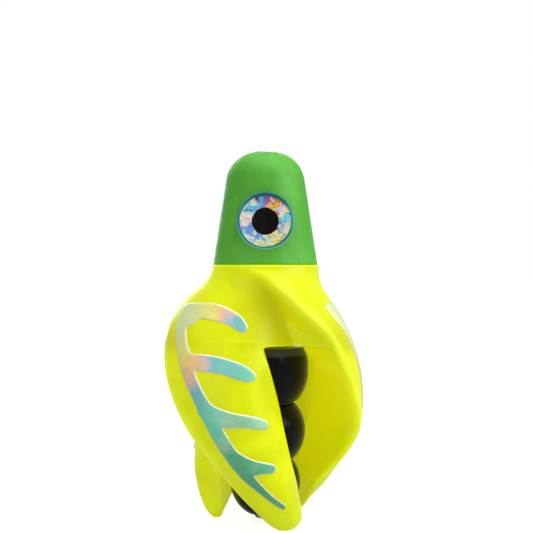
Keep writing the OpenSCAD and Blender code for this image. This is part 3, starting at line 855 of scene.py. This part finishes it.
def thickened(top, bottom, faces):
    """A closed solid between two copies of a surface, with walls along its border."""
    used = sorted({i for face in faces for i in face})
    place = {old: new for new, old in enumerate(used)}
    upper = [[place[i] for i in face] for face in faces]
    edges = {(a, b) for face in upper for a, b in zip(face, face[1:] + face[:1])}
    count = len(used)
    lower = [[count + i for i in reversed(face)] for face in upper]
    walls = [[b, a, count + a, count + b] for a, b in edges if (b, a) not in edges]
    return np.concatenate([top[used], bottom[used]]), upper + lower + walls, used


def skin_field(a, z):
    """The stripe's field at an angle and a height on the skin of the first wing."""
    return stripe_field(skin_r(a, z) * np.sin(np.radians(a)), z)


def print_grid():
    """Angles and heights over the skin, with the points beside the stripe's outline moved onto it."""
    heights = np.linspace(PRINT_BOTTOM, PRINT_TOP, PRINT_ROWS)[:, None]
    lead = wing_at(LEAD_A, heights) + 1
    start = np.minimum(wing_at(START_A, heights), PRINT_LAST_A) - 1
    angles = lead + (start - lead) * np.linspace(0, 1, PRINT_COLUMNS)[None, :]
    heights = np.broadcast_to(heights, angles.shape).copy()
    away, _ = skin_field(angles, heights)
    step, rounds = 0.01, 4
    for _ in range(rounds):
        skin = skin_r(angles, heights)
        per_degree = (skin_field(angles + step, heights)[0] - away) / step
        per_mm = (skin_field(angles, heights + step)[0] - away) / step
        across = per_degree / np.radians(skin)
        steep = across**2 + per_mm**2 + 1e-9
        near = np.abs(away) < PRINT_CELL * 0.6
        angles = np.where(near, angles - np.degrees(away * across / steep / skin), angles)
        heights = np.where(near, heights - away * per_mm / steep, heights)
        away, tone = skin_field(angles, heights)
    return angles, heights, away, tone


def make_foils():
    """The same print on each wing."""
    angles, heights, away, tone = print_grid()
    faces = clipped_faces(away < PRINT_CELL * 0.2, PRINT_ROWS, PRINT_COLUMNS)
    rise = PRINT_LIFT + FOIL_T * np.clip(-away / PRINT_EDGE, 0, 1) ** PRINT_EDGE_CURVE * PRINT_RISE_SHARE
    skin = skin_r(angles, heights)
    top = at(skin + rise, angles, heights).reshape(-1, 3)
    bottom = at(skin - PRINT_FOOT, angles, heights).reshape(-1, 3)
    points, faces, used = thickened(top, bottom, faces)
    for w in range(WING_COUNT):
        foil = mesh_object(f"foil_print_{w + 1}", turned(points, w * 360 / WING_COUNT), faces)
        add_value(foil.data, "inside", np.tile(-away.ravel()[used], 2))
        add_value(foil.data, "tone", np.tile(tone.ravel()[used], 2))
        finished(foil, "rotor", FOIL, [f"foil_stripe_{w + 1}"])


# ---------------------------------------------------------------- the head and its eyes

HEAD_R = high("head_shell").x
COLLAR_SINK = 0.1
CROWN_ROUND = 6.1
CROWN_FLAT_R = 1.45
CROWN_Z = high("nose_collar").z - COLLAR_SINK - CROWN_ROUND
CHAMBER_R = 5.5
EYES = {"front": 0, "back": 180}
EYE_R = 5.0
EYE_Z = 56.5
EYE_TILT = 4
EYE_POCKET = 1.75
EYE_GAP = 0.1
EYE_T = 0.3
DOME_H = 1.1
DOME_GAP = 0.02
HEAD_CELL = 0.17
MOUTH_GAP = 0.3
CREASE_H = 0.035
CREASE_ROOM = 0.08

# The looks of the head round an eye: the strength and reach of the painted shade, and the teal line at the
# pocket's edge, a painted reflection
EYE_SHADE, EYE_SHADE_REACH = 0.75, 1.5
POCKET_LINE, POCKET_BLUR = 0.42, 0.15


def side_top():
    """Where the straight side of the head meets the rounding of the crown."""
    dx, dz = HEAD_R - CROWN_FLAT_R, CROWN_Z - JOINT_Z
    lean = math.atan2(dz, -dx) - math.asin(CROWN_ROUND / math.hypot(dx, dz)) - math.pi / 2
    return CROWN_FLAT_R + CROWN_ROUND * math.cos(lean), CROWN_Z + CROWN_ROUND * math.sin(lean), lean


def eye_frame(turn):
    """The place of an eye: its middle on the side of the head, looking outwards along +Z."""
    top_r, top_z, _ = side_top()
    side_r = HEAD_R + (top_r - HEAD_R) * (EYE_Z - JOINT_Z) / (top_z - JOINT_Z)
    return (Matrix.Rotation(math.radians(turn), 4, "Z") @ Matrix.Translation((0, -side_r, EYE_Z))
            @ Matrix.Rotation(math.radians(90 - EYE_TILT), 4, "X"))


def head_outline():
    """The head's closed outline: its side, its crown, the mouth of its bore and its chamber."""
    _, _, lean = side_top()
    bush_r, bush_bottom, bush_top = high("nose_bush").x, low("nose_bush").z, high("nose_bush").z
    mouth_r = bush_r + MOUTH_GAP
    last = math.acos((mouth_r - CROWN_FLAT_R) / CROWN_ROUND)
    crown = [(CROWN_FLAT_R + CROWN_ROUND * math.cos(a), CROWN_Z + CROWN_ROUND * math.sin(a))
             for a in np.linspace(lean, last, 28)]
    side = [(HEAD_R + (crown[0][0] - HEAD_R) * t, JOINT_Z + (crown[0][1] - JOINT_Z) * t)
            for t in np.linspace(0, 1, 24)[:-1]]
    inside = [(mouth_r, bush_top), (bush_r, bush_top), (bush_r, bush_bottom), (CHAMBER_R, bush_bottom),
              (CHAMBER_R, JOINT_Z + SPIGOT_H), (SPIGOT_R, JOINT_Z + SPIGOT_H), (SPIGOT_R, JOINT_Z)]
    return side + crown + inside


def mark_head(mesh):
    """Stores the painted shade round the eyes and the painted reflection at the edge of their pockets, from
    how near the head's points are to an eye.
    """
    points = coordinates(mesh)
    from_eye = np.full(len(points), FAR)
    for turn in EYES.values():
        local = np.c_[points, np.ones(len(points))] @ np.array(eye_frame(turn).inverted()).T
        on_side = np.where(local[:, 2] > -2, np.hypot(local[:, 0], local[:, 1]), FAR)
        from_eye = np.minimum(from_eye, on_side)
    shade = EYE_SHADE * np.exp(-(np.maximum(from_eye - EYE_R, 0) / EYE_SHADE_REACH) ** 2)
    add_value(mesh, "painted_eye_shade", shade)
    add_value(mesh, "painted_rim_reflection", np.clip((EYE_R + POCKET_LINE - from_eye) / POCKET_BLUR, 0, 1))


def make_head():
    head = mesh_object("head_moulding", *revolve(head_outline(), steps=200))
    for turn in EYES.values():
        cutter = mesh_object("pocket_cutter", *cylinder(EYE_R + EYE_GAP, -EYE_POCKET, 4, steps=96))
        cutter.data.transform(eye_frame(turn))
        cut(head, cutter)
    remeshed(head, voxel=HEAD_CELL, smoothing=3)
    mark_head(head.data)
    finished(head, "rotor", GREEN, ["head_shell"])


def disc(radius, height_at, rings=40, steps=144):
    """A round surface, from its middle out, with its height given by a function of radius and angle."""
    points, faces = [(0, 0, height_at(0, 0))], []
    for k in range(1, rings + 1):
        r = radius * k / rings
        for i in range(steps):
            a = 2 * math.pi * i / steps
            points.append((r * math.cos(a), r * math.sin(a), height_at(r, a)))
    for i in range(steps):
        j = (i + 1) % steps
        faces.append([0, 1 + i, 1 + j])
        for k in range(rings - 1):
            inner, outer = 1 + k * steps, 1 + (k + 1) * steps
            faces.append([inner + i, outer + i, outer + j, inner + j])
    return np.array(points), faces


def crinkle(r, a):
    """Height of the foil's creases, flat in the pupil and at the rim."""
    x, y = r * math.cos(a), r * math.sin(a)
    waves = math.sin(2.1 * x + 1.7 * math.sin(1.3 * y)) + math.sin(2.7 * y + 1.9 * math.sin(1.1 * x + 0.5))
    return CREASE_H * waves * min(1, max(0, r - PUPIL_R + 0.1)) * min(1, (EYE_R - r) * 2)


def make_eye(side, turn):
    flat = np.array([1, 1, 0])
    top, faces = disc(EYE_R, lambda r, a: EYE_T - CREASE_ROOM + crinkle(r, a))
    points, faces, _ = thickened(top, top * flat, faces)
    foil = mesh_object(f"eye_foil_{side}", points, faces)
    add_value(foil.data, "across", points[:, 0])
    add_value(foil.data, "up", points[:, 1])
    add_value(foil.data, "out", np.hypot(points[:, 0], points[:, 1]))
    place = eye_frame(turn) @ Matrix.Translation((0, 0, -EYE_POCKET))
    foil.data.transform(place)
    finished(foil, "rotor", EYE, [f"eye_disc_{side}"])
    rim_r = EYE_R - EYE_GAP
    ball_r = (rim_r**2 + DOME_H**2) / (2 * DOME_H)
    rim_z = EYE_T + 2 * DOME_GAP
    top, faces = disc(rim_r, lambda r, a: rim_z + math.sqrt(ball_r**2 - r**2) - ball_r + DOME_H)
    points, faces, _ = thickened(top, top * flat + np.array([0, 0, EYE_T + DOME_GAP]), faces)
    lens = mesh_object(f"eye_lens_{side}", points, faces)
    lens.data.transform(place)
    finished(lens, "rotor", RESIN, [f"eye_dome_{side}"])


# ---------------------------------------------------------------- beads and metal

# Each bead's body, its middle height, and the height of the straight belt round it
BEADS = {
    "bead_upper": ("upper_bead", 28.7, 1.4),
    "bead_middle": ("middle_bead", 16.9, 0),
    "bead_lower": ("lower_bead", 7, 0),
}
TUBE_R = high("spindle_tube").x
BORE_GAP = 0.05
BORE_EASE = 0.3
FERRULE_GAP, FERRULE_END_GAP = 0.2, 0.12
RING_EASE = 0.15
CRIMP_COUNT = 4
CRIMP_DEPTH = 0.18
CRIMP_WIDTH = 0.45


def make_bead(node):
    """A bead: a round with a straight belt, its bore eased, and the lower one hollow for the ferrule."""
    body, middle, belt = BEADS[node]
    bottom, top, largest = low(node).z, high(node).z, high(node).x
    bore = TUBE_R + BORE_GAP
    arc = []
    for start, end, centre in ((bottom, middle - belt / 2, middle - belt / 2),
                               (middle + belt / 2, top, middle + belt / 2)):
        for a in np.linspace(math.asin((start - centre) / largest), math.asin((end - centre) / largest), 24):
            arc.append((largest * math.cos(a), centre + largest * math.sin(a)))
    outline = [(bore, bottom), *arc, (bore, top)]
    for end, inward in ((1, 0), (-2, -1)):
        corner = np.array(outline[end])
        along = np.array(outline[inward]) - corner
        outline[end] = tuple(corner + along * BORE_EASE / np.linalg.norm(along))
    if node == "bead_lower":
        hole_r = high("tail_ferrule").x + FERRULE_GAP
        hole_z = high("tail_ferrule").z + FERRULE_END_GAP
        outline = [(hole_r, bottom), *outline[1:], (bore, hole_z), (hole_r, hole_z)]
    bead = mesh_object(f"{node}_moulding", *revolve(outline))
    mark = bead.modifiers.new("ends", "EDGE_SPLIT")
    mark.split_angle = math.radians(50)
    applied(bead)
    finished(bead, body, BLACK, [node])


def make_ring(name, node, crimps=0, sink=0.0):
    """A turned ring on the tube, with eased edges, its top sunk a little, and dents if it is crimped."""
    bottom, top, outer = low(node).z, high(node).z - sink, high(node).x
    outline = rounded([(TUBE_R, bottom), (outer, bottom), (outer, top), (TUBE_R, top)], RING_EASE)
    points, faces = revolve(outline, steps=96)
    if crimps:
        radius = np.hypot(points[:, 0], points[:, 1])
        angle = np.arctan2(points[:, 1], points[:, 0])
        belt = np.exp(-((points[:, 2] - (bottom + top) / 2) / CRIMP_WIDTH) ** 2)
        outside = radius > (TUBE_R + outer) / 2
        dent = CRIMP_DEPTH * belt * np.clip(np.cos(angle * crimps), 0, 1) ** 4 * outside
        points[:, :2] *= ((radius - dent) / radius)[:, None]
    ring = mesh_object(name, points, faces)
    finished(ring, "spindle", STEEL, [node])


def dress_nodes():
    """Gives the carried-over nodes their materials."""
    for node, material in (("spindle_tube", STEEL), ("nose_washer", STEEL), ("hub_washer", STEEL),
                           ("nose_bush", ACETAL), ("hub_bush", ACETAL)):
        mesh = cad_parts[node].data
        mesh.materials.clear()
        mesh.materials.append(material)


make_shroud()
make_foils()
make_head()
for side, turn in EYES.items():
    make_eye(side, turn)
for node in BEADS:
    make_bead(node)
make_ring("nose_collar_turned", "nose_collar", sink=COLLAR_SINK)
make_ring("tail_ferrule_crimped", "tail_ferrule", crimps=CRIMP_COUNT)
dress_nodes()

# ---------------------------------------------------------------- floor, light and world

AIM_Z = 38
STUDIO_GREY = 0.38


def make_floor():
    """Pale paper, lit up where it is seen, so that it runs into the white behind it."""
    reach = 3.0
    corners = [(-reach, -reach, 0), (reach, -reach, 0), (reach, reach, 0), (-reach, reach, 0)]
    floor = mesh_object("floor", corners, [(0, 1, 2, 3)])
    finish = Finish("floor_paper", Roughness=0.8, Emission_Color=(1, 1, 1, 1))
    finish.colour(finish.mix(finish.noise(0.02), (0.36, 0.36, 0.36), (0.40, 0.40, 0.40)))
    seen = finish.node("ShaderNodeLightPath").outputs["Is Camera Ray"]
    finish.feed(finish.shader.inputs["Emission Strength"], finish.between(seen, 0, 1, 0.05, 0.85))
    floor.data.materials.append(finish.material)


def make_light(name, place, size, power):
    """A soft lamp at a place in millimetres, turned towards the middle of the object."""
    data = bpy.data.lights.new(name, "AREA")
    data.shape = "RECTANGLE"
    data.size, data.size_y = size[0] * MM, size[1] * MM
    data.energy = power
    lamp = bpy.data.objects.new(name, data)
    lamp.location = Vector(place) * MM
    lamp.rotation_euler = (Vector((0, 0, AIM_Z * MM)) - lamp.location).to_track_quat("-Z", "Y").to_euler()
    bpy.context.scene.collection.objects.link(lamp)


def make_world():
    """White where the camera sees it, and a soft grey for what lights the object."""
    world = bpy.data.worlds.new("studio")
    bpy.context.scene.world = world
    world.use_nodes = True
    tree = world.node_tree
    seen = tree.nodes.new("ShaderNodeLightPath").outputs["Is Camera Ray"]
    backdrop = tree.nodes["Background"]
    backdrop.inputs["Color"].default_value = (1, 1, 1, 1)
    strength = tree.nodes.new("ShaderNodeMapRange")
    tree.links.new(seen, strength.inputs["Value"])
    strength.inputs["To Min"].default_value = STUDIO_GREY
    strength.inputs["To Max"].default_value = 1.0
    tree.links.new(strength.outputs[0], backdrop.inputs["Strength"])


make_floor()
make_world()
make_light("key_softbox", (250, -110, 200), (300, 240), 0.76)
make_light("fill_softbox", (-200, -320, 110), (320, 320), 0.31)
make_light("top_softbox", (10, -20, 300), (260, 260), 0.48)
make_light("back_softbox", (-60, 280, 120), (200, 200), 0.40)
bpy.context.scene.view_settings.view_transform = "Standard"
